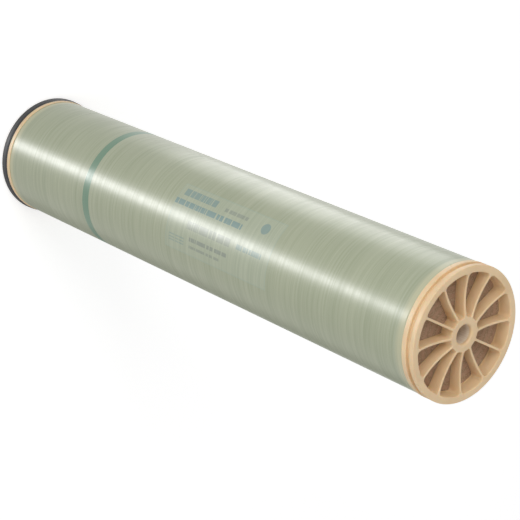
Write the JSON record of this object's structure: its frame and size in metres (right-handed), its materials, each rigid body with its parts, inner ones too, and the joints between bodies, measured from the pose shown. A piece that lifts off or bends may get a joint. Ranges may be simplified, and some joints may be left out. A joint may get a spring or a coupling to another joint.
{
  "type": "reverse osmosis membrane element",
  "caption": "Spiral-wound reverse osmosis element: membrane roll in a fibreglass shell, vaned end caps, central permeate tube and a lip seal at the feed end.",
  "frame": {"origin": "centre of the feed end cap's outer face, on the element's axis, where it stands on the floor", "axes": "+Z along the element's axis from the feed end to the outlet end, with +X and +Y each along a vane of the end caps"},
  "size_m": [0.206, 0.206, 1.016],
  "materials": {
    "cap_moulding": "satin moulded",
    "seal_rubber": "matte",
    "tube_plastic": "satin",
    "roll_tape": "satin",
    "label_paper": "matte",
    "fibreglass": "satin resin over wound strands",
    "membrane": "matte",
    "spacer_net": "matte"
  },
  "bodies": {
    "root": {"feed_end_cap": "cap_moulding", "outlet_end_cap": "cap_moulding", "brine_seal": "seal_rubber", "permeate_tube": "tube_plastic", "roll_tape": "roll_tape", "label_sheet": "label_paper", "fibreglass_shell": "fibreglass", "membrane_leaf_1": "membrane", "membrane_leaf_2": "membrane", "membrane_leaf_3": "membrane", "membrane_leaf_4": "membrane", "membrane_leaf_5": "membrane", "membrane_leaf_6": "membrane", "feed_spacer_1": "spacer_net", "feed_spacer_2": "spacer_net", "feed_spacer_3": "spacer_net", "feed_spacer_4": "spacer_net", "feed_spacer_5": "spacer_net", "feed_spacer_6": "spacer_net"}
  },
  "joints": []
}
